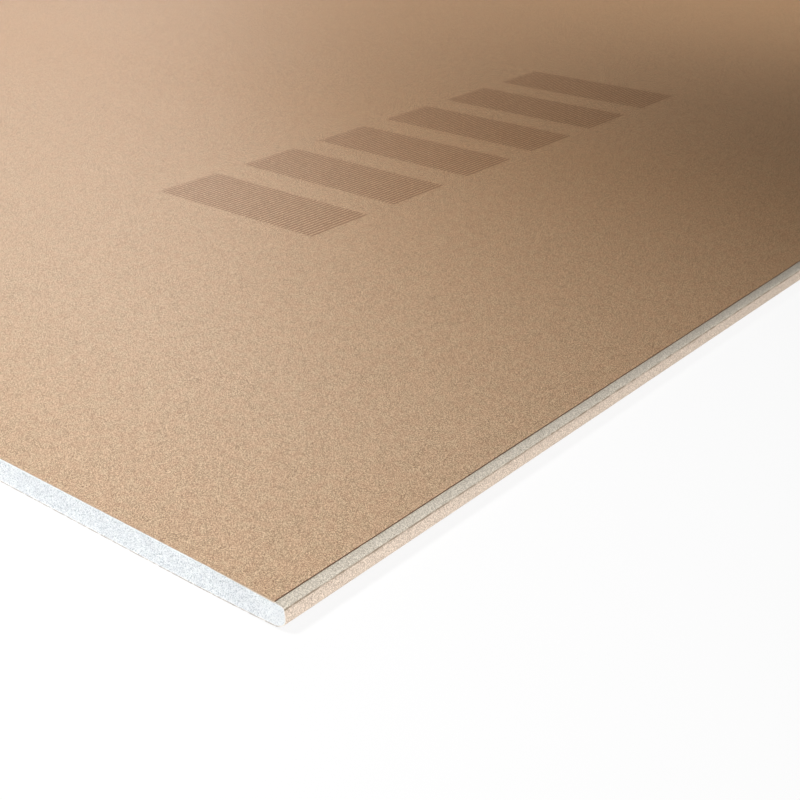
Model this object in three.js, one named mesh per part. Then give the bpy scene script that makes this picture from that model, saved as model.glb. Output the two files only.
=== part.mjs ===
// Drywall sheet: a gypsum board with tapered, half-round long edges, lying on its face with the
// brown back side up. Three bonded pieces, each a constant section swept along the board:
//   gypsum_core  the cast body, open at the two cut ends;
//   face_paper   one liner that covers the face, wraps both noses and is folded onto the back;
//   back_paper   the kraft liner that laps over the two folded flaps.
// Millimetres. X runs across the width, Y along the length, +Z up.
// Origin: the middle of the face side, on the surface that the sheet lies on.
import * as THREE from "three";

// ---- driving dimensions ----
const WIDTH = 1200;
const LENGTH = 2500;
const THICKNESS = 12.5;
const PAPER = 0.4; // one layer of liner

// Insets are measured inwards from the outermost point of the long edge, heights from the face.
const TAPER_INSET = 52; // where the face side starts to rise towards the long edge
const TAPER_RISE = 0.95; // how far it has risen where the nose starts
const TAPER_SLACK = 0.2; // height of the taper curve's middle handle
const NOSE_INSET = 7; // where the nose starts
const NOSE_HEIGHT = 6; // its outermost point
const SHOULDER_HEIGHT = 9.2; // handle that keeps the upper nose upright
const CREASE_INSET = 0.45; // score line along which the face liner is folded onto the back
const CREASE_HEIGHT = 10.5;
const SCORE_DEPTH = 0.12; // the score line is pressed in by this much
const SCORE_WIDTH = 0.4;
const FOLD_INSET = 0.8; // handle of the curve from the score line over onto the back
const FOLD_HEIGHT = 11.75;

const FALL_INSET = 55; // where the back side starts to fall towards the long edge
const BACK_FALL = 0.4;
const LAP_INSET = 5.3; // cut edge of the back liner
const THINNING_INSET = 16; // from here on the folded liner thins out under the back liner
const FLAP_INSET = 38; // hidden edge of the folded face liner
const FLAP_EDGE = 0.1; // its thickness there

// ---- finishes ----
const gypsum = new THREE.MeshStandardMaterial({ color: 0xecf0f2, roughness: 0.95, metalness: 0 });
const ivoryLiner = new THREE.MeshStandardMaterial({ color: 0xd6c8b6, roughness: 0.85, metalness: 0 });
const kraftLiner = new THREE.MeshStandardMaterial({ color: 0xbd9b7c, roughness: 0.85, metalness: 0 });

// ---- sampling of the curved stretches ----
const NOSE_STEPS = 12;
const CURVE_STEPS = 8;
const LAP_STEPS = 3;
const THINNING_STEPS = 4;

const HALF_WIDTH = WIDTH / 2;

// A point of the right half of the section, by its inset from the long edge and its height.
function atInset(inset, height) {
  return new THREE.Vector2(HALF_WIDTH - inset, height);
}

function mirrored(points) {
  return points.map((p) => new THREE.Vector2(-p.x, p.y)).reverse();
}

// Top of the back liner: level across the sheet, then a parabola down to its cut edge.
function backHeight(inset) {
  const along = Math.max(0, (FALL_INSET - inset) / (FALL_INSET - LAP_INSET));
  return THICKNESS - BACK_FALL * along * along;
}

// Insets at which the back side is sampled between two places, both included.
function insetsBetween(from, to, steps) {
  return Array.from({ length: steps + 1 }, (_, i) => from + ((to - from) * i) / steps);
}

const LAPPED_INSETS = [
  ...insetsBetween(LAP_INSET, THINNING_INSET, LAP_STEPS),
  ...insetsBetween(THINNING_INSET, FLAP_INSET, THINNING_STEPS).slice(1),
];
const OPEN_INSETS = insetsBetween(FLAP_INSET, FALL_INSET, CURVE_STEPS);

// Underside of the back liner at the given insets.
function underBack(insets) {
  return insets.map((inset) => atInset(inset, backHeight(inset) - PAPER));
}

// The face liner's outside on the right half, from the taper to the flap's hidden edge. The
// score line is pressed into the paper alone, so the core's side of the liner is drawn without it.
function wrappedEdge(scored) {
  const taper = new THREE.QuadraticBezierCurve(
    atInset(TAPER_INSET, 0),
    atInset((TAPER_INSET + NOSE_INSET) / 2, TAPER_SLACK),
    atInset(NOSE_INSET, TAPER_RISE),
  );
  const noseCentre = atInset(NOSE_INSET, NOSE_HEIGHT);
  const lowerNose = new THREE.EllipseCurve(
    noseCentre.x,
    noseCentre.y,
    NOSE_INSET,
    NOSE_HEIGHT - TAPER_RISE,
    -Math.PI / 2,
    0,
  );
  const upperNose = new THREE.QuadraticBezierCurve(
    atInset(0, NOSE_HEIGHT),
    atInset(0, SHOULDER_HEIGHT),
    atInset(CREASE_INSET, CREASE_HEIGHT - SCORE_WIDTH / 2),
  );
  const score = atInset(CREASE_INSET + SCORE_DEPTH, CREASE_HEIGHT);
  const foldedOver = new THREE.QuadraticBezierCurve(
    atInset(CREASE_INSET, CREASE_HEIGHT + SCORE_WIDTH / 2),
    atInset(FOLD_INSET, FOLD_HEIGHT),
    underBack([LAP_INSET])[0],
  );
  return [
    ...taper.getPoints(CURVE_STEPS),
    ...lowerNose.getPoints(NOSE_STEPS).slice(1),
    ...upperNose.getPoints(CURVE_STEPS).slice(1),
    ...(scored ? [score] : []),
    ...foldedOver.getPoints(CURVE_STEPS),
    ...underBack(LAPPED_INSETS).slice(1),
  ];
}

// Thickness of the face liner at a point of its outside: whole, but thinned out towards the
// flap's hidden edge, so that the back liner runs over it without a step.
function linerThickness(point) {
  const inset = HALF_WIDTH - Math.abs(point.x);
  if (point.y < THICKNESS / 2 || inset <= THINNING_INSET) {
    return PAPER;
  }
  const along = (inset - THINNING_INSET) / (FLAP_INSET - THINNING_INSET);
  return PAPER + (FLAP_EDGE - PAPER) * along;
}

// The same line moved towards its left by the liner's thickness, with mitred corners.
function offsetLine(points) {
  const normals = points.slice(1).map((p, i) => {
    const run = p.clone().sub(points[i]).normalize();
    return new THREE.Vector2(-run.y, run.x);
  });
  return points.map((p, i) => {
    const before = normals[Math.max(0, i - 1)];
    const after = normals[Math.min(i, normals.length - 1)];
    const mitre = before.clone().add(after).normalize();
    return p.clone().addScaledVector(mitre, linerThickness(p) / mitre.dot(before));
  });
}

// A closed section swept along the whole board, from one cut end to the other.
function sweptPiece(name, outline, material) {
  const geometry = new THREE.ExtrudeGeometry(new THREE.Shape(outline), {
    depth: LENGTH,
    steps: 1,
    bevelEnabled: false,
  });
  const mesh = new THREE.Mesh(geometry, material);
  mesh.name = name;
  return mesh;
}

// ---- the three sections ----
const scoredEdge = wrappedEdge(true);
const plainEdge = wrappedEdge(false);
const wrapOutside = [...mirrored(scoredEdge), ...scoredEdge];
const wrapInside = offsetLine([...mirrored(plainEdge), ...plainEdge]);

// The core fills the wrap and meets the back liner between the two flaps.
const rightOpenBack = underBack(OPEN_INSETS);
const coreBack = [...rightOpenBack, ...mirrored(rightOpenBack)];

const rightBackInsets = [...LAPPED_INSETS, ...OPEN_INSETS.slice(1)];
const rightBackTop = rightBackInsets.map((inset) => atInset(inset, backHeight(inset)));
const rightBackUnder = underBack(rightBackInsets);
const backTop = [...rightBackTop, ...mirrored(rightBackTop)];
const backUnder = [...mirrored(rightBackUnder).reverse(), ...rightBackUnder.slice().reverse()];

// ---- assembly: sections are drawn upright, then laid with their sweep along Y ----
const sheet = new THREE.Group();
sheet.rotation.x = Math.PI / 2;
sheet.position.y = LENGTH / 2;
sheet.add(
  sweptPiece("gypsum_core", [...wrapInside, ...coreBack], gypsum),
  sweptPiece("face_paper", [...wrapOutside, ...wrapInside.slice().reverse()], ivoryLiner),
  sweptPiece("back_paper", [...backTop, ...backUnder], kraftLiner),
);

export default sheet;
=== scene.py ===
"""Looks of the drywall sheet: a gypsum board with tapered half-round edges, brown back side up.

Everything is in metres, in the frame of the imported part: X across the width, Y along the length,
+Z up out of the brown back side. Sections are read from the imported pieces, so sizes follow them.
An inset is a distance in from the nearer long edge; along is a distance from the front cut end.
"""
import math
from typing import NamedTuple

import bmesh
import bpy
import numpy as np
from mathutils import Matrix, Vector
from mathutils.geometry import tessellate_polygon


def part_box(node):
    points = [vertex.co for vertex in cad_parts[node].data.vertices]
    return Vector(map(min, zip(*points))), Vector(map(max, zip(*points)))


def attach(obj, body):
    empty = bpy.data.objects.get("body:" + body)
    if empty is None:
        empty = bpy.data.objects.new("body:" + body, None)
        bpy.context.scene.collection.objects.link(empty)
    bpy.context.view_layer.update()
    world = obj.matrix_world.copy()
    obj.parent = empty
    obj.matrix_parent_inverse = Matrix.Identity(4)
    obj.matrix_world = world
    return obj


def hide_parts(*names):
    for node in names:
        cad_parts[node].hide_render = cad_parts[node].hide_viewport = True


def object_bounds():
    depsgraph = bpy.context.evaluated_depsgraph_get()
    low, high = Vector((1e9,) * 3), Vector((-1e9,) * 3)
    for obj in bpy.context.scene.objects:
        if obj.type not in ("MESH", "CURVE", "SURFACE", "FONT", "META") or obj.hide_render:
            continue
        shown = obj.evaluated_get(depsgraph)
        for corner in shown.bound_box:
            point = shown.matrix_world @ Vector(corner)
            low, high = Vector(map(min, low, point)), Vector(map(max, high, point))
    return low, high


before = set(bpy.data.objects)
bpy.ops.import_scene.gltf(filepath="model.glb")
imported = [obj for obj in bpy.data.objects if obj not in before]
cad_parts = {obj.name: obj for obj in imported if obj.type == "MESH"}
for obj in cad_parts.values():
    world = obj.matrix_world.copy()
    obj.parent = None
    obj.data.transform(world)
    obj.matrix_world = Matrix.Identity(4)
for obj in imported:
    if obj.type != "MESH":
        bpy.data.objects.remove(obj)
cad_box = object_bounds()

MM = 0.001

# ---- places read from the frame ----
SHEET_LOW, SHEET_HIGH = (Vector(corner) for corner in cad_box)
HALF_WIDTH = SHEET_HIGH.x
HALF_LENGTH = SHEET_HIGH.y
LENGTH = 2 * HALF_LENGTH
TOP = SHEET_HIGH.z
HALF_THICKNESS = TOP / 2
LAP_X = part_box("back_paper")[1].x  # cut edge of the back liner
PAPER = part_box("gypsum_core")[0].z - SHEET_LOW.z  # thickness of one liner

# ---- the view: a 60 mm lens, not rolled, looking down on the near corner ----
VIEW_AZIMUTH = 39.45
VIEW_ELEVATION = 26.94
LENS_MM = 60.0
SENSOR_MM = 36.0
CAMERA_FROM_CORNER = Vector((0.2765, -0.2723, 0.2775))


# ======================================================================= seeded unevenness

# Constants of the hash behind the noise. Others would serve as well, but would move every dent.
SEED_FACTOR = 7919
SEED_START = 12345
HASH_FACTOR = np.uint64(0x9E3779B97F4A7C15)
HASH_FOLD = np.uint64(29)
SPARE_BITS = np.uint64(11)  # a float holds the other 53 of the 64


def ease(amount):
    """Smooth step of a number or array held between 0 and 1."""
    amount = np.clip(amount, 0, 1)
    return amount * amount * (3 - 2 * amount)


def lattice_value(cells, seed):
    """A repeatable random number between -1 and 1 for each whole-numbered cell: the 53 bits that
    are left make a number between 0 and 2, less 1."""
    mixed = np.full(len(cells), seed * SEED_FACTOR + SEED_START, np.uint64)
    for column in cells.T:
        mixed = (mixed ^ column.astype(np.uint64)) * HASH_FACTOR
        mixed ^= mixed >> HASH_FOLD
    return (mixed >> SPARE_BITS).astype(float) / 2 ** 52 - 1


def smooth_noise(where, size, seed, octaves=3):
    """Seeded value noise between -1 and 1 at an (n, d) array of places. Its coarsest cells have
    the given size; each further octave is half as large and counts for half as much."""
    axes = where.shape[1]
    total = np.zeros(len(where))
    weights = 0.0
    for octave in range(octaves):
        weight = 0.5 ** octave
        cell = where / (size * weight)
        base = np.floor(cell).astype(np.int64)
        part = ease(cell - base)
        value = np.zeros(len(where))
        for corner in range(2 ** axes):
            step = np.array([(corner >> axis) & 1 for axis in range(axes)])
            share = np.prod(np.where(step, part, 1 - part), axis=1)
            value += share * lattice_value(base + step, seed + octave)
        total += weight * value
        weights += weight
    return total / weights


class Relief(NamedTuple):
    """An unevenness of a surface: its mean depth, the size of its coarsest dents and its seed."""
    depth: float
    size: float
    seed: int
    octaves: int = 3

    def at(self, where, reseed=0):
        """Depths between 0 and twice the mean at an (n, d) array of places."""
        return self.depth * (1 + smooth_noise(where, self.size, self.seed + reseed, self.octaves))


# ======================================================================= meshes

SAME_PLACE = 1e-6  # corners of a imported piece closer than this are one
CUT_END_DEPTH = 1e-5  # corners within this of the foremost one lie on the cut end
SHARP_DEGREES = 35
CORE_SHARP_DEGREES = 60


def make_piece(name, points, faces, material, sharp_degrees=SHARP_DEGREES):
    """A mesh object of the sheet: smooth shaded, with edges sharper than the angle kept crisp."""
    mesh = bpy.data.meshes.new(name)
    mesh.from_pydata([tuple(p) for p in points], [], faces)
    mesh.validate()
    piece = bpy.data.objects.new(name, mesh)
    bpy.context.scene.collection.objects.link(piece)
    mesh.shade_smooth()
    mesh.set_sharp_from_angle(angle=math.radians(sharp_degrees))
    mesh.materials.append(material)
    return piece


def cut_outline(node):
    """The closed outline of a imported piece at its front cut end: (x, z) points, anticlockwise
    as seen from the front."""
    shape = bmesh.new()
    shape.from_mesh(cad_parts[node].data)
    bmesh.ops.remove_doubles(shape, verts=shape.verts, dist=SAME_PLACE)
    front = min(v.co.y for v in shape.verts) + CUT_END_DEPTH
    cap = {f for f in shape.faces if all(v.co.y < front for v in f.verts)}
    neighbours = {}
    for edge in shape.edges:
        if sum(f in cap for f in edge.link_faces) == 1:
            a, b = edge.verts
            neighbours.setdefault(a, []).append(b)
            neighbours.setdefault(b, []).append(a)
    start = next(iter(neighbours))
    walk = [start, neighbours[start][0]]
    while walk[-1] is not start:
        before, here = walk[-2:]
        walk.append(next(v for v in neighbours[here] if v is not before))
    outline = np.array([(v.co.x, v.co.z) for v in walk[:-1]])
    shape.free()
    x, z = outline.T
    next_x, next_z = np.roll(outline, -1, axis=0).T
    double_area = np.sum(x * next_z - next_x * z)
    return outline if double_area > 0 else outline[::-1]


def grid_quads(grid):
    """Quads between the neighbours in a grid of point numbers."""
    corners = (grid[:-1, :-1], grid[1:, :-1], grid[1:, 1:], grid[:-1, 1:])
    return np.stack(corners, axis=-1).reshape(-1, 4).tolist()


# Along the board the papers are sampled closer together near the front cut end.
CLOSE_STATIONS = 100
CLOSE_STEP = 4 * MM
WIDE_STEP = 10 * MM


def board_stations(rear_gap):
    """Distances along the board, from 0 to no nearer the rear cut end than the gap."""
    close = np.arange(CLOSE_STATIONS) * CLOSE_STEP
    wide = np.arange(CLOSE_STATIONS * CLOSE_STEP, LENGTH - rear_gap, WIDE_STEP)
    return np.concatenate([close, wide])


# ======================================================================= materials

LATTICE_TURN = (0.5, 0.6, 0.4)  # radians; no flat face lies in a layer of a turned noise
GRAIN_WEIGHTS = (0.70, 0.30)  # of a paper's fine grain and of one twice as coarse
FACING_SHARE = 0.7  # a face looks along an axis where its normal has more than this of it
MIX_AMOUNT, MIX_FIRST, MIX_SECOND = 0, 6, 7  # a Mix node's inputs, when it mixes colours
MIX_RESULT = 2

# Stretches of a noise that lies about 0.5.
BROAD = (0.35, 0.65)
NARROW = (0.40, 0.60)
PEAKS = (0.70, 0.80)
DIPS = (0.30, 0.20)


class Shade:
    """A material whose nodes read the object's own coordinates, in metres."""

    def __init__(self, name, gloss=0.5):
        self.material = bpy.data.materials.new(name)
        self.material.use_nodes = True
        self.tree = self.material.node_tree
        self.shader = self.tree.nodes["Principled BSDF"]
        self.shader.inputs["Specular IOR Level"].default_value = gloss
        coordinates = self.tree.nodes.new("ShaderNodeTexCoord")
        self.place = coordinates.outputs["Object"]
        self.normal = coordinates.outputs["Normal"]

    def node(self, kind, inputs=(), **settings):
        made = self.tree.nodes.new("ShaderNode" + kind)
        for key, value in settings.items():
            setattr(made, key, value)
        for key, value in dict(inputs).items():
            self.feed(made.inputs[key], value)
        return made

    def feed(self, socket, value):
        if isinstance(value, bpy.types.NodeSocket):
            self.tree.links.new(value, socket)
        else:
            socket.default_value = value

    def math(self, operation, a, b=0.0):
        made = self.node("Math", {0: a, 1: b}, operation=operation)
        return made.outputs[0]

    def xyz(self):
        return self.node("SeparateXYZ", {0: self.place}).outputs

    def inset(self, limit, coordinate):
        """Distance in from the nearer of two sides, at limit and -limit along an axis."""
        return self.math("SUBTRACT", limit, self.math("ABSOLUTE", coordinate))

    def noise(self, size, detail=2.0, roughness=0.5, scale=(1.0, 1.0, 1.0)):
        """Fractal noise about 0.5 whose coarsest feature has the given size in metres. A scale
        under 1 along an axis draws the pattern out along it."""
        turned = self.node("Mapping", {
            "Vector": self.place, "Scale": scale, "Rotation": LATTICE_TURN,
        })
        made = self.node("TexNoise", {
            "Vector": turned.outputs["Vector"], "Scale": 1 / size,
            "Detail": detail, "Roughness": roughness,
        })
        return made.outputs["Fac"]

    def grain(self, size):
        """Paper grain about 0.5, made of single noises, each twice as coarse as the one before."""
        total = 0.0
        for octave, weight in enumerate(GRAIN_WEIGHTS):
            layer = self.noise(size * 2 ** octave, detail=0.0)
            total = self.math("ADD", self.math("MULTIPLY", layer, weight), total)
        return total

    def between(self, value, low, high, to_low=0.0, to_high=1.0, smooth=True):
        """value moved from the range low..high to to_low..to_high, held at both ends."""
        made = self.node("MapRange", {
            "Value": value, "From Min": low, "From Max": high,
            "To Min": to_low, "To Max": to_high,
        }, interpolation_type="SMOOTHSTEP" if smooth else "LINEAR")
        return made.outputs["Result"]

    def inside(self, value, width):
        """1 where value is between 0 and width, else 0."""
        above = self.math("GREATER_THAN", value, 0.0)
        return self.math("MULTIPLY", above, self.math("LESS_THAN", value, width))

    def facing(self, axis):
        """1 on faces that look out along an axis, either way, else 0."""
        share = self.node("SeparateXYZ", {0: self.normal}).outputs[axis]
        return self.math("GREATER_THAN", self.math("ABSOLUTE", share), FACING_SHARE)

    def mix(self, amount, first, second, blend="MIX"):
        inputs = {MIX_AMOUNT: amount, MIX_FIRST: first, MIX_SECOND: second}
        made = self.node("Mix", inputs, data_type="RGBA", clamp_factor=True, blend_type=blend)
        return made.outputs[MIX_RESULT]

    def stain(self, colour, other, pattern, stretch, most):
        """colour with another over it: none of it where the pattern's stretch starts, and the
        share most where the stretch ends."""
        return self.mix(self.between(pattern, *stretch, 0.0, most), colour, other)

    def bump(self, heights, distance):
        made = self.node("Bump", {"Height": heights, "Distance": distance, "Strength": 1.0})
        self.feed(self.shader.inputs["Normal"], made.outputs["Normal"])

    def fibrous_bump(self, grain, fibres, distance):
        """Relief of a paper: its grain, with the fibres half as high."""
        self.bump(self.math("ADD", grain, self.math("MULTIPLY", fibres, 0.5)), distance)

    def finish(self, colour, roughness):
        self.feed(self.shader.inputs["Base Color"], colour)
        self.feed(self.shader.inputs["Roughness"], roughness)
        return self.material


def rgb(red, green, blue):
    """A linear colour from the three sRGB numbers, 0 to 255, that a picture shows."""
    def linear(value):
        share = value / 255
        return share / 12.92 if share <= 0.04045 else ((share + 0.055) / 1.055) ** 2.4
    return (linear(red), linear(green), linear(blue), 1.0)


WHITE = (1, 1, 1, 1)

# ---- both papers ----
ALONG_BOARD = (1.0, 0.3, 1.0)  # scale that draws fibres out along the board
FIBRE_SIZE = 0.9 * MM

# ---- brown back liner ----
KRAFT_GRAIN_SIZE = 0.31 * MM
KRAFT_TINT_SIZE = 5 * MM
KRAFT_CLOUD_SIZE = 60 * MM
KRAFT_RELIEF = 0.05 * MM
KRAFT_ROUGHNESS = (0.52, 0.40)  # of the dark and of the pale grain
KRAFT_DARK = rgb(121, 89, 62)
KRAFT_PALE = rgb(227, 198, 163)
KRAFT_CLOUD = rgb(196, 160, 126)
KRAFT_DARK_FIBRE = rgb(112, 80, 52)
KRAFT_PALE_FIBRE = rgb(226, 196, 163)
KRAFT_RUDDY = rgb(201, 154, 124)
# partly the cut fibres' own darker brown, partly painted shade: the lap's cut edge painted dark as
# if it lay in shadow
KRAFT_LAP_EDGE_AND_SHADE = rgb(106, 76, 54)
KRAFT_CUT_END = rgb(186, 158, 130)
KRAFT_FALLOFF_SHADE_TINT = rgb(255, 239, 219)  # painted shade: multiplies the colour darker and browner further in from a cut end
FALLOFF_SHADE_REACH = (120 * MM, 520 * MM)  # the painted shade grows over these distances in from a cut end


def kraft_material():
    """Brown recycled-fibre liner: a fine even grain, faint clouds and a generic printed mark, with
    painted shade that darkens it further in from the cut ends and, in part, on the lap's cut edge.
    """
    shade = Shade("kraft_liner", gloss=0.33)
    x, y, _ = shade.xyz()
    grain = shade.grain(KRAFT_GRAIN_SIZE)
    fibres = shade.noise(FIBRE_SIZE, detail=1.0, scale=ALONG_BOARD)
    tints = shade.noise(KRAFT_TINT_SIZE, detail=1.0)
    clouds = shade.noise(KRAFT_CLOUD_SIZE, detail=3.0, roughness=0.55)
    colour = shade.mix(shade.between(grain, *NARROW, smooth=False), KRAFT_DARK, KRAFT_PALE)
    colour = shade.stain(colour, KRAFT_CLOUD, clouds, BROAD, most=0.08)
    colour = shade.stain(colour, KRAFT_DARK_FIBRE, fibres, PEAKS, most=0.45)
    colour = shade.stain(colour, KRAFT_PALE_FIBRE, fibres, DIPS, most=0.4)
    colour = shade.stain(colour, KRAFT_RUDDY, tints, BROAD, most=0.2)
    # painted shade: the colour turns darker and browner further in from either cut end
    falloff_shade = shade.between(shade.inset(HALF_LENGTH, y), *FALLOFF_SHADE_REACH, smooth=False)
    colour = shade.mix(falloff_shade, colour, KRAFT_FALLOFF_SHADE_TINT, blend="MULTIPLY")
    colour = shade.mix(hatched_bars(shade, x, y, grain), colour, PRINT_COLOUR)
    # faces along X, the lap's cut edge: partly its own darker brown, partly painted shade
    colour = shade.mix(shade.facing("X"), colour, KRAFT_LAP_EDGE_AND_SHADE)
    colour = shade.mix(shade.facing("Y"), colour, KRAFT_CUT_END)
    shade.fibrous_bump(grain, fibres, KRAFT_RELIEF)
    return shade.finish(colour, shade.between(grain, *NARROW, *KRAFT_ROUGHNESS))


# ---- the printed row of bars ----
PRINT_INSETS = (250 * MM, 388 * MM)  # the row's place, in from the +X long edge
PRINT_START = 284 * MM  # along the board to the first bar
PRINT_BAR = 52 * MM
PRINT_STEP = 78 * MM
PRINT_BARS = 6
PRINT_LINE_STEP = 3.1 * MM
PRINT_LINE_EDGES = (0.55, 0.95)  # of a sine's height: where a line's ink starts and is full
PRINT_INK = 0.85  # how much of the paper a full line hides
PRINT_ON_GRAIN = (1.0, 0.85)  # share of the ink that dark and pale grain take
PRINT_COLOUR = rgb(120, 70, 22)


def hatched_bars(shade, x, y, grain):
    """How much ink lies at each place: a row of plain bars filled with lines along the board."""
    row_x = shade.math("SUBTRACT", HALF_WIDTH - PRINT_INSETS[0], x)
    row_y = shade.math("SUBTRACT", y, PRINT_START - HALF_LENGTH)
    row = shade.math("MULTIPLY", shade.inside(row_x, PRINT_INSETS[1] - PRINT_INSETS[0]),
                     shade.inside(row_y, PRINT_BARS * PRINT_STEP))
    bar = shade.inside(shade.math("FLOORED_MODULO", row_y, PRINT_STEP), PRINT_BAR)
    wave = shade.math("SINE", shade.math("MULTIPLY", row_x, math.pi / PRINT_LINE_STEP))
    lines = shade.between(shade.math("ABSOLUTE", wave), *PRINT_LINE_EDGES)
    patchy = shade.between(grain, *NARROW, *PRINT_ON_GRAIN)
    ink = shade.math("MULTIPLY", shade.math("MULTIPLY", lines, patchy), PRINT_INK)
    return shade.math("MULTIPLY", ink, shade.math("MULTIPLY", row, bar))


# ---- ivory face liner ----
IVORY_GRAIN_SIZE = 0.34 * MM
IVORY_GRAIN = (0.39, 0.61)  # stretch of the grain's noise from dark to pale
IVORY_RELIEF = 0.04 * MM
IVORY_ROUGHNESS = (0.8, 0.66)
IVORY_SIDE_PAINTED_LIGHT = (rgb(180, 161, 144), rgb(237, 220, 203))  # dark and pale grain round the nose, a copy of the paper painted warmer with painted light
IVORY_FLAP_PAINTED_SHADE = (rgb(167, 157, 143), rgb(226, 217, 202))  # the same on the folded flap, a copy of the same paper painted greyer with painted shade
IVORY_DARK_FIBRE = rgb(150, 132, 112)
CREASE_HEIGHT = 10.35 * MM  # where the face liner is scored before it is folded over
CREASE_CORE = 0.1 * MM  # the crease is darkest up to here above and below
CREASE_REACH = 0.6 * MM
# painted shade in the scored crease, broken up along it by a noise
CREASE_PAINTED_SHADE = rgb(150, 133, 114)
CREASE_SHADE_BREAK_SIZE = 1.6 * MM
CREASE_SHADE_BREAKS = (0.38, 0.6, 0.35, 1.0)  # stretch of the noise, and the strength of the crease's painted shade over it


def ivory_material():
    """Ivory face liner, one paper in two painted copies: greyer with painted shade on the folded
    flap, warmer with painted light round the nose.
    """
    shade = Shade("ivory_liner", gloss=0.4)
    x, _, height = shade.xyz()
    grain = shade.grain(IVORY_GRAIN_SIZE)
    fibres = shade.noise(FIBRE_SIZE, detail=1.0, scale=ALONG_BOARD)
    amount = shade.between(grain, *IVORY_GRAIN, smooth=False)
    # lit and shaded copies of one paper: painted light round the nose, painted shade on the flap
    side = shade.mix(amount, *IVORY_SIDE_PAINTED_LIGHT)
    flap = shade.mix(amount, *IVORY_FLAP_PAINTED_SHADE)
    folded = shade.between(height, CREASE_HEIGHT, CREASE_HEIGHT + CREASE_CORE)
    colour = shade.mix(folded, side, flap)
    # painted shade: the crease darkened as the shade in its groove would be
    off_crease = shade.math("ABSOLUTE", shade.math("SUBTRACT", height, CREASE_HEIGHT))
    crease_breaks = shade.noise(CREASE_SHADE_BREAK_SIZE, scale=ALONG_BOARD)
    crease_shade = shade.math("MULTIPLY", shade.between(off_crease, CREASE_CORE, CREASE_REACH, 1.0, 0.0),
                      shade.between(crease_breaks, *CREASE_SHADE_BREAKS))
    colour = shade.mix(crease_shade, colour, CREASE_PAINTED_SHADE)
    colour = shade.stain(colour, IVORY_DARK_FIBRE, fibres, PEAKS, most=0.35)
    colour = shade.mix(shade.facing("Y"), colour, cut_edge(shade, x, height))
    shade.fibrous_bump(grain, fibres, IVORY_RELIEF)
    return shade.finish(colour, shade.between(grain, *NARROW, *IVORY_ROUGHNESS))


# ---- the face liner's own cut edge ----
EDGE_BREAK_SIZE = 2.2 * MM
EDGE_GREY_STRETCH = (0.34, 0.56)
EDGE_DARK_STRETCH = (0.66, 0.72)
EDGE_PALE = rgb(226, 224, 221)
EDGE_GREY = rgb(170, 163, 155)
EDGE_DARK = rgb(128, 121, 112)
EDGE_DUSTY = rgb(243, 237, 229)
EDGE_COVERED = rgb(214, 196, 176)
DUSTY_INSETS = (2.5 * MM, 5 * MM)  # the dust round the nose ends between these


def cut_edge(shade, x, height):
    """The liner's own cut edge: a broken grey line below, dusty white round the nose, and tan
    where the back liner covers the flap."""
    inset = shade.inset(HALF_WIDTH, x)
    breaks = shade.noise(EDGE_BREAK_SIZE, roughness=0.6)
    line = shade.mix(shade.between(breaks, *EDGE_GREY_STRETCH), EDGE_PALE, EDGE_GREY)
    line = shade.mix(shade.between(breaks, *EDGE_DARK_STRETCH), line, EDGE_DARK)
    line = shade.mix(shade.between(inset, *DUSTY_INSETS, 1.0, 0.0), line, EDGE_DUSTY)
    covered = shade.math("MULTIPLY", shade.math("GREATER_THAN", height, HALF_THICKNESS),
                         shade.math("GREATER_THAN", inset, HALF_WIDTH - LAP_X))
    return shade.mix(covered, line, EDGE_COVERED)


# ---- gypsum core ----
CLOSED_SKIN = 1.6 * MM  # the plaster is denser down to about here, below the back side
DENSE_NOSE = 22 * MM  # the plaster has fewer pores from here out to the nose
GYPSUM_TONE_SIZE = 9 * MM
GYPSUM_TONES = (rgb(235, 238, 240), rgb(241, 244, 245))  # faint clouds between these
GYPSUM_ROUGHNESS = (0.3, 0.7, 0.95, 0.88)  # stretch of the tone's noise, and the roughness over it
SPECK_SIZE = 0.45 * MM
SPECK_STRETCH = (0.47, 0.68)
# painted shade: grey specks standing for the shade in small cut-open pores
SPECK_PAINTED_SHADE = rgb(164, 172, 180)
SPECK_MOST = 0.9
SPECK_RELIEF = 0.1 * MM
SPECKS_AT_NOSE = (2 * MM, DENSE_NOSE, 0.5, 1.0)  # insets, and the share of specks over them
SPECKS_IN_SKIN = (PAPER, CLOSED_SKIN, 0.2, 1.0)  # depths under the back side, and the same
# painted shade: the grey of the pores' depths
PORE_PAINTED_SHADE = rgb(174, 180, 186)
PORE_SHADING = (0.16 * MM, 0.42 * MM)  # depths behind the cut at which the painted shade starts and is full


def gypsum_material():
    """Cool white foamed plaster with painted shade: grey specks where the fine pores are cut open,
    and grey in their depths.
    """
    shade = Shade("cast_gypsum", gloss=0.3)
    x, y, z = shade.xyz()
    tone = shade.noise(GYPSUM_TONE_SIZE, detail=3.0)
    specks = shade.noise(SPECK_SIZE, detail=1.0, roughness=0.55)
    dense = shade.math("MULTIPLY", shade.between(shade.inset(HALF_WIDTH, x), *SPECKS_AT_NOSE),
                       shade.between(shade.math("SUBTRACT", TOP, z), *SPECKS_IN_SKIN))
    # painted shade: grey specks where the speck noise is high, the same places the bump sinks into
    # pits
    grey = shade.math("MULTIPLY", shade.between(specks, *SPECK_STRETCH, 0.0, SPECK_MOST), dense)
    colour = shade.mix(shade.between(tone, *BROAD), *GYPSUM_TONES)
    colour = shade.mix(grey, colour, SPECK_PAINTED_SHADE)
    # painted shade: the plaster greyer the deeper it lies behind the cut, in the pores
    behind_cut = shade.inset(HALF_LENGTH, y)
    colour = shade.stain(colour, PORE_PAINTED_SHADE, behind_cut, PORE_SHADING, most=0.45)
    shade.bump(shade.math("MULTIPLY", specks, -1.0), SPECK_RELIEF)
    return shade.finish(colour, shade.between(tone, *GYPSUM_ROUGHNESS))


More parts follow.
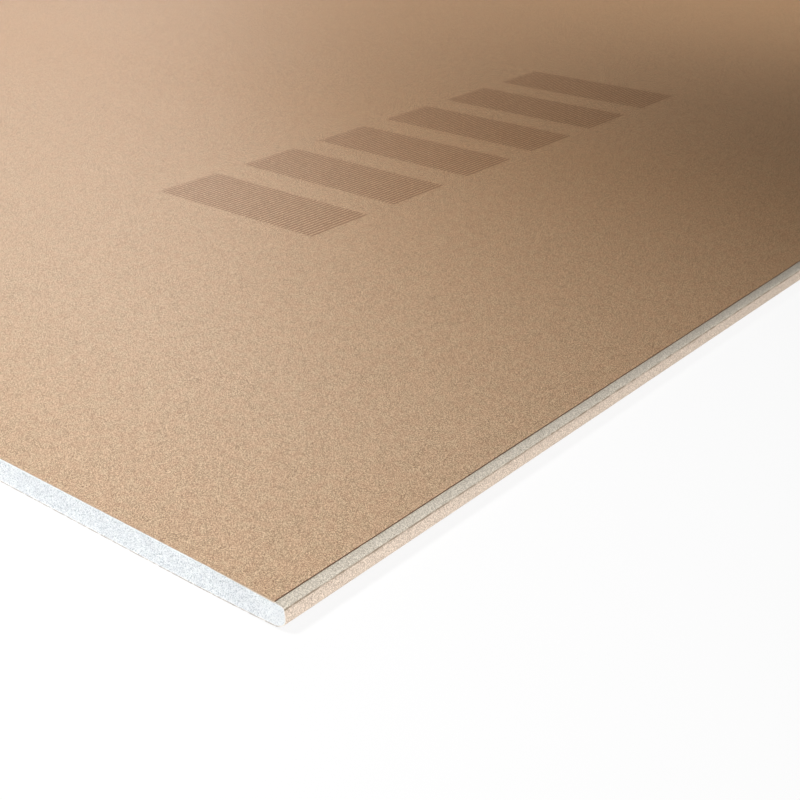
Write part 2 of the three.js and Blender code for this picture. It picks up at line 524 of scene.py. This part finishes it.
# ---- floor ----
FLOOR_WHITE = rgb(244, 244, 244)
FLOOR_ROUGHNESS = 0.9
BACKDROP_GLOW = 0.9  # how near to white the unlit floor looks; the lamps' light does the rest
FAR_FLOOR_LIGHT = 0.01  # what the lamps add far off, so that no horizon shows


def floor_material():
    """Pale floor: white to the camera, yet darker where the sheet shades it."""
    shade = Shade("pale_floor")
    shade.finish(FLOOR_WHITE, FLOOR_ROUGHNESS)
    paths = shade.node("LightPath")
    seen = shade.math("MAXIMUM", paths.outputs["Is Camera Ray"], paths.outputs["Is Glossy Ray"])
    seen = shade.math("MAXIMUM", seen, paths.outputs["Is Transmission Ray"])
    glow = shade.node("Emission", {"Color": WHITE, "Strength": 1.0})
    blend = shade.node("MixShader", {
        0: shade.math("MULTIPLY", seen, BACKDROP_GLOW),
        1: shade.shader.outputs[0],
        2: glow.outputs[0],
    })
    output = shade.tree.nodes["Material Output"]
    shade.feed(output.inputs["Surface"], blend.outputs[0])
    return shade.material


# ======================================================================= gypsum core

CORE_FRONT_ROWS = 40
CORE_REAR_ROWS = 6
CORE_FINE_ZONE = 185 * MM  # finely divided stretch at the +X long edge, which the photo shows
CORE_FINE_STEP = 0.3 * MM
CORE_COARSE_STEP = 1.3 * MM
NOSE_ZONE = 8 * MM  # stretch where the section closes, divided finer still
NOSE_COLUMNS = 40
NOSE_CROWDING = 1.6  # power that crowds its columns towards the outermost one

SAWN_WAVES = Relief(0.03 * MM, 5 * MM, seed=11)
SAWN_ROUGHNESS = Relief(0.02 * MM, 1.2 * MM, seed=23, octaves=2)
SAWN_SETBACK = 0.02 * MM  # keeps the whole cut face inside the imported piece
PORE_SIZE = 0.65 * MM
PORE_SEED = 41
PORE_OCTAVES = 2
PORE_DEPTH = 0.40 * MM
PORE_START = 0.18  # the noise's value at which a pore begins
PORE_SLOPE = 0.5  # and how much further it is at the bottom
PORE_FREE_RIM = 0.6 * MM  # pores grow shallow this near to the papers
PORES_AT_NOSE = 0.5  # depth of the pores at the outermost point, as a share of the usual one
PORES_IN_SKIN = 0.4  # the same just under the back liner


def core_columns(half):
    """Places across the sheet at which the core's cut faces are divided."""
    fine_start = half - CORE_FINE_ZONE
    coarse = np.arange(NOSE_ZONE - half, fine_start, CORE_COARSE_STEP)
    fine = np.arange(fine_start, half - NOSE_ZONE, CORE_FINE_STEP)
    closing = NOSE_ZONE * np.linspace(0, 1, NOSE_COLUMNS) ** NOSE_CROWDING
    return np.unique(np.concatenate([closing - half, coarse, fine, half - closing]))


def core_limits(outline, columns):
    """Lower and upper height of the core's section at each column."""
    left = np.argmin(outline[:, 0])
    right = (np.argmax(outline[:, 0]) - left) % len(outline)
    turned = np.roll(outline, -left, axis=0)
    lower = turned[:right + 1]
    upper = np.vstack([turned[right:], turned[:1]])[::-1]
    low = np.interp(columns, lower[:, 0], lower[:, 1])
    high = np.interp(columns, np.maximum.accumulate(upper[:, 0]), upper[:, 1])
    return low, high


def cut_face(columns, low, high, end, rows):
    """Points of a cut face, column by column: the front one (end -1) or the rear one (end 1)."""
    low, high = low[:, None], high[:, None]
    height = low + (high - low) * np.linspace(0, 1, rows + 1)
    across = np.repeat(columns[:, None], rows + 1, axis=1)
    y = end * (HALF_LENGTH - cut_face_depth(across, height, low, high, end))
    return np.stack([across, y, height], axis=-1).reshape(-1, 3)


def cut_face_depth(across, height, low, high, end):
    """How far the cut end's plaster lies behind the cut: a sawn roughness and pores."""
    places = np.stack([across.ravel(), height.ravel()], axis=1)
    depth = SAWN_WAVES.at(places, reseed=end) + SAWN_ROUGHNESS.at(places, reseed=end)
    pores = smooth_noise(places, PORE_SIZE, PORE_SEED + end, PORE_OCTAVES)
    depth, pores = depth.reshape(across.shape), pores.reshape(across.shape)
    inset = HALF_WIDTH - np.abs(across)
    dense = PORES_AT_NOSE + (1 - PORES_AT_NOSE) * ease(inset / DENSE_NOSE)
    dense *= PORES_IN_SKIN + (1 - PORES_IN_SKIN) * ease((high - height) / CLOSED_SKIN)
    margin = np.minimum(height - low, high - height)
    open_pore = ease((pores - PORE_START) / PORE_SLOPE)
    depth += PORE_DEPTH * dense * open_pore * ease(margin / PORE_FREE_RIM)
    return depth + SAWN_SETBACK


def make_core(material):
    """The plaster body: both cut faces finely divided, with long plain faces between them."""
    outline = cut_outline("gypsum_core")
    columns = core_columns(outline[:, 0].max())
    low, high = core_limits(outline, columns)
    front_points = cut_face(columns, low, high, -1, CORE_FRONT_ROWS)
    rear_points = cut_face(columns, low, high, 1, CORE_REAR_ROWS)
    front = np.arange(len(front_points)).reshape(len(columns), -1)
    rear = np.arange(len(rear_points)).reshape(len(columns), -1) + len(front_points)
    faces = grid_quads(front)
    faces += [quad[::-1] for quad in grid_quads(rear)]
    front_columns, rear_columns = front.tolist(), rear.tolist()
    for i in range(len(columns) - 1):
        f, next_f = front_columns[i:i + 2]
        r, next_r = rear_columns[i:i + 2]
        faces.append((f[0], r[0], next_r[0], next_f[0]))
        faces.append((f[-1], next_f[-1], next_r[-1], r[-1]))
    faces.append(front_columns[0] + rear_columns[0][::-1])
    faces.append(rear_columns[-1] + front_columns[-1][::-1])
    points = np.vstack([front_points, rear_points])
    piece = make_piece("gypsum_core_cut", points, faces, material, CORE_SHARP_DEGREES)
    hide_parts("gypsum_core")
    return piece


# ======================================================================= ivory face liner

NOSE_CENTRE = np.array([HALF_WIDTH - 6 * MM, HALF_THICKNESS])  # x and z at the +X long edge
NOSE_REACH = 14.5 * MM  # the paper nearer than this to the centre has dents
NOSE_RADIUS = 5 * MM  # turns an angle round the nose into a way over the paper
NOSE_DENTS = Relief(0.05 * MM, 24 * MM, seed=71)
EDGES_APART = 3.0  # metres; moves the two long edges to different parts of the noise


def dented_section(outline, y):
    """The face liner's section at one place, with the paper round both noses pushed in."""
    section = outline.copy()
    for side in (-1, 1):
        inwards = NOSE_CENTRE * (side, 1) - section
        distance = np.linalg.norm(inwards, axis=1)
        close = distance < NOSE_REACH
        inwards, distance = inwards[close], distance[close]
        angle = np.arctan2(inwards[:, 1], side * inwards[:, 0])
        shifted_y = np.full(len(angle), y + side * EDGES_APART)
        push = NOSE_DENTS.at(np.column_stack([angle * NOSE_RADIUS, shifted_y]))
        section[close] += inwards / distance[:, None] * push[:, None]
    return section


def end_cap(outline):
    """Triangles that close a section, anticlockwise as seen from the front."""
    triangles = []
    for a, b, c in tessellate_polygon([[Vector((x, z, 0)) for x, z in outline]]):
        to_b, to_c = outline[b] - outline[a], outline[c] - outline[a]
        clockwise = to_b[0] * to_c[1] - to_b[1] * to_c[0] < 0
        triangles.append((a, c, b) if clockwise else (a, b, c))
    return triangles


def make_face_liner(material):
    """The ivory liner: its section swept along the board in short steps, closed at both ends."""
    outline = cut_outline("face_paper")
    stations = np.append(board_stations(rear_gap=12 * MM), LENGTH) - HALF_LENGTH
    points = []
    for y in stations:
        points.extend((x, y, z) for x, z in dented_section(outline, y))
    rings = np.arange(len(points)).reshape(len(stations), -1)
    faces = grid_quads(np.hstack([rings, rings[:, :1]]))
    rear = len(points) - len(outline)
    for triangle in end_cap(outline):
        faces.append(triangle)
        faces.append(tuple(rear + corner for corner in triangle[::-1]))
    piece = make_piece("face_liner_wrapped", points, faces, material)
    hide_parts("face_paper")
    return piece


# ======================================================================= brown back liner

# Distances in from the lap's edge at which the liner is divided, then every step to the middle.
LAP_DISTANCES_MM = (0, 0.15, 0.5, 1.0, 1.8, 2.8, 4, 6, 8, 11, 14, 18, 24, 32, 42, 54, 70)
MIDDLE_START = 88 * MM
MIDDLE_STEP = 18 * MM

PAPER_WAVES = Relief(0.04 * MM, 160 * MM, seed=101)
RAGGED_CUT = Relief(0.07 * MM, 1.4 * MM, seed=91)  # how far the paper stops short of a cut end
RAGGED_COLUMNS = 2200  # across the sheet, in the rows close to a cut end
RAGGED_STEP = 0.3 * MM  # from the front cut end to the second of those rows
RAGGED_REACH = 1.2 * MM  # from either cut end to the last of them
UNEVEN_LAP = Relief(0.06 * MM, 25 * MM, seed=151)
UNEVEN_LAP_REACH = 2 * MM
LAP_SIDES_APART = 5  # metres; moves the two laps to different parts of the noise
LIP_HEIGHT = 0.10 * MM  # the liner's cut edge stands up by this much
LIP_REACH = 3.5 * MM
LIP_CHANGE = 0.35  # share by which that changes along the edge
LIP_CHANGE_SIZE = 40 * MM
LIP_SEED = 131
LIP_SIDES_APART = 3  # metres; the same for the two lips


def back_top_line():
    """The top of the back liner's section from left to right: the part of its anticlockwise
    outline that runs towards -X, with the points at both of its ends."""
    outline = cut_outline("back_paper")
    runs_back = np.roll(outline, -1, axis=0)[:, 0] < outline[:, 0] - SAME_PLACE
    top_line = outline[runs_back | np.roll(runs_back, 1)]
    return top_line[np.argsort(top_line[:, 0])]


def back_rows():
    """The rows of points on the back liner: how far along each lies, and its places across."""
    middle = np.arange(MIDDLE_START, LAP_X, MIDDLE_STEP)
    inwards = np.concatenate([np.array(LAP_DISTANCES_MM) * MM, middle])
    coarse = np.concatenate([inwards - LAP_X, [0.0], (LAP_X - inwards)[::-1]])
    fine = np.unique(np.concatenate([coarse, np.linspace(-LAP_X, LAP_X, RAGGED_COLUMNS)]))
    rows = [(0.0, fine), (RAGGED_STEP, fine), (RAGGED_REACH, fine)]
    rows += [(along, coarse) for along in board_stations(rear_gap=8 * MM)[1:]]
    rows += [(LENGTH - RAGGED_REACH, fine), (LENGTH, fine)]
    return rows


def back_row_points(across, y, top_line):
    """Points on top of the back liner: slightly wavy, with a raised lip and an uneven lap."""
    side = np.sign(across)
    inward = LAP_X - np.abs(across)
    uneven = UNEVEN_LAP.at(np.column_stack([side * LAP_SIDES_APART, y]))
    x = across - side * (inward < UNEVEN_LAP_REACH) * uneven
    z = np.interp(across, top_line[:, 0], top_line[:, 1])
    z -= PAPER_WAVES.at(np.column_stack([across, y]))
    lip = LIP_HEIGHT * ease(1 - inward / LIP_REACH) ** 2
    lip_places = np.column_stack([side * LIP_SIDES_APART, y])
    lip *= 1 + LIP_CHANGE * smooth_noise(lip_places, LIP_CHANGE_SIZE, LIP_SEED)
    return np.column_stack([x, y, z + lip])


def zipped(near, near_x, far, far_x):
    """Faces between two rows of point numbers: quads where the rows have the same places across,
    else triangles."""
    if len(near) == len(far):
        return list(zip(near, near[1:], far[1:], far))
    faces = []
    near_last, far_last = len(near) - 1, len(far) - 1
    i = j = 0
    while i < near_last or j < far_last:
        near_next = near_x[i + 1] if i < near_last else math.inf
        far_next = far_x[j + 1] if j < far_last else math.inf
        if near_next <= far_next:
            faces.append((near[i], near[i + 1], far[j]))
            i += 1
        else:
            faces.append((near[i], far[j + 1], far[j]))
            j += 1
    return faces


def make_back_liner(material):
    """The brown liner: rows of points on top, the same ones lower by its thickness, and a rim."""
    top_line = back_top_line()
    rows = back_rows()
    last = len(rows) - 1
    points, numbers = [], []
    for row, (along, across) in enumerate(rows):
        y = np.full(len(across), along - HALF_LENGTH)
        if row in (0, last):
            short = RAGGED_CUT.at(across[:, None], reseed=row)
            y += short if row == 0 else -short
        numbers.append(list(range(len(points), len(points) + len(across))))
        points.extend(back_row_points(across, y, top_line))
    faces = []
    for row in range(last):
        faces += zipped(numbers[row], rows[row][1], numbers[row + 1], rows[row + 1][1])
    count = len(points)
    faces += [tuple(corner + count for corner in face[::-1]) for face in faces]
    rim = numbers[0] + [row[-1] for row in numbers[1:]]
    rim += numbers[-1][-2::-1] + [row[0] for row in numbers[-2:0:-1]]
    for a, b in zip(rim, rim[1:] + rim[:1]):
        faces.append((b, a, a + count, b + count))
    points = np.vstack([points, np.array(points) - (0, 0, PAPER)])
    piece = make_piece("back_liner_lapped", points, faces, material)
    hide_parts("back_paper")
    return piece


# ======================================================================= stage, lights, camera

FLOOR_REACH = 30.0
SKY_STRENGTH = 0.08


def make_floor():
    """A level square floor under the sheet, so wide that its edge doesn't show."""
    mesh = bpy.data.meshes.new("floor")
    corners = ((-1, -1), (1, -1), (1, 1), (-1, 1))
    points = [(x * FLOOR_REACH, y * FLOOR_REACH, 0) for x, y in corners]
    mesh.from_pydata(points, [], [(0, 1, 2, 3)])
    mesh.materials.append(floor_material())
    floor = bpy.data.objects.new("floor", mesh)
    bpy.context.scene.collection.objects.link(floor)


def make_world():
    """A weak light from all round; to the camera the sky looks as the far floor does."""
    world = bpy.data.worlds.new("studio")
    bpy.context.scene.world = world
    world.use_nodes = True
    tree = world.node_tree
    sky = tree.nodes["Background"]
    seen_sky = tree.nodes.new("ShaderNodeBackground")
    for background, strength in ((sky, SKY_STRENGTH), (seen_sky, BACKDROP_GLOW + FAR_FLOOR_LIGHT)):
        background.inputs["Color"].default_value = WHITE
        background.inputs["Strength"].default_value = strength
    paths = tree.nodes.new("ShaderNodeLightPath")
    blend = tree.nodes.new("ShaderNodeMixShader")
    tree.links.new(paths.outputs["Is Camera Ray"], blend.inputs[0])
    tree.links.new(sky.outputs[0], blend.inputs[1])
    tree.links.new(seen_sky.outputs[0], blend.inputs[2])
    tree.links.new(blend.outputs[0], tree.nodes["World Output"].inputs["Surface"])


def place_light(name, light, place, target):
    """A lamp object that shines from a place towards a target and is not seen itself."""
    lamp = bpy.data.objects.new(name, light)
    bpy.context.scene.collection.objects.link(lamp)
    lamp.location = place
    lamp.rotation_euler = (Vector(target) - Vector(place)).to_track_quat("-Z", "Y").to_euler()
    lamp.visible_camera = False
    return lamp


def make_softbox(name, place, target, diameter, watts, glint=True):
    """A round soft lamp. Without a glint it leaves no highlight of its own on the paper."""
    light = bpy.data.lights.new(name, "AREA")
    light.shape = "DISK"
    light.size = diameter
    light.energy = watts
    place_light(name, light, place, target).visible_glossy = glint


def make_spotlight(name, place, target, diameter, cone_degrees, fade, watts):
    """A lamp whose round pool of light fades out over the outer share of its cone."""
    light = bpy.data.lights.new(name, "SPOT")
    light.shadow_soft_size = diameter / 2
    light.spot_size = math.radians(cone_degrees)
    light.spot_blend = fade
    light.energy = watts
    place_light(name, light, place, target)


def make_lights():
    """Two pools of light from above, a sheen from the back left, and low fills on the edges."""
    make_spotlight("near_end", place=(-0.25, -2.1, 2.4), target=(-0.58, -2.23, 0),
                   diameter=0.5, cone_degrees=81, fade=0.24, watts=311)
    make_spotlight("rear_half", place=(-0.3, 0.6, 3.2), target=(-0.3, 0.6, 0),
                   diameter=0.5, cone_degrees=49, fade=0.6, watts=290)
    make_softbox("sheen_back_left", place=(-4.1, 2.1, 2.5), target=(0.2, -0.9, 0),
                 diameter=2.5, watts=43)
    make_softbox("side_front_right", place=(2.4, -2.6, 0.5), target=(0.6, -0.8, 0),
                 diameter=0.8, watts=10, glint=False)
    make_softbox("side_right", place=(2.8, -1.5, 0.4), target=(0.6, -0.8, 0),
                 diameter=0.8, watts=29, glint=False)
    make_softbox("end_front_right", place=(1.0, -1.9, 0.3), target=(0.6, -1.25, 0),
                 diameter=0.4, watts=0.6, glint=False)
    make_softbox("rear_left", place=(-2.6, 3.2, 0.35), target=(-0.4, 1.0, 0),
                 diameter=1.0, watts=62, glint=False)


def make_camera():
    """The photo's view, placed from the sheet's near top corner."""
    camera = bpy.data.cameras.new("camera")
    camera.lens = LENS_MM
    camera.sensor_width = SENSOR_MM
    camera.clip_start = 0.01
    camera.clip_end = 100
    holder = bpy.data.objects.new("camera", camera)
    bpy.context.scene.collection.objects.link(holder)
    corner = Vector((HALF_WIDTH, -HALF_LENGTH, TOP))
    holder.location = corner + CAMERA_FROM_CORNER
    holder.rotation_euler = (
        math.radians(90 - VIEW_ELEVATION), 0, math.radians(VIEW_AZIMUTH))
    bpy.context.scene.camera = holder


make_camera()
make_floor()
make_world()
make_lights()

core = make_core(gypsum_material())
face_liner = make_face_liner(ivory_material())
back_liner = make_back_liner(kraft_material())
for piece in (core, face_liner, back_liner):
    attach(piece, "root")

bpy.context.scene.view_settings.view_transform = "Standard"
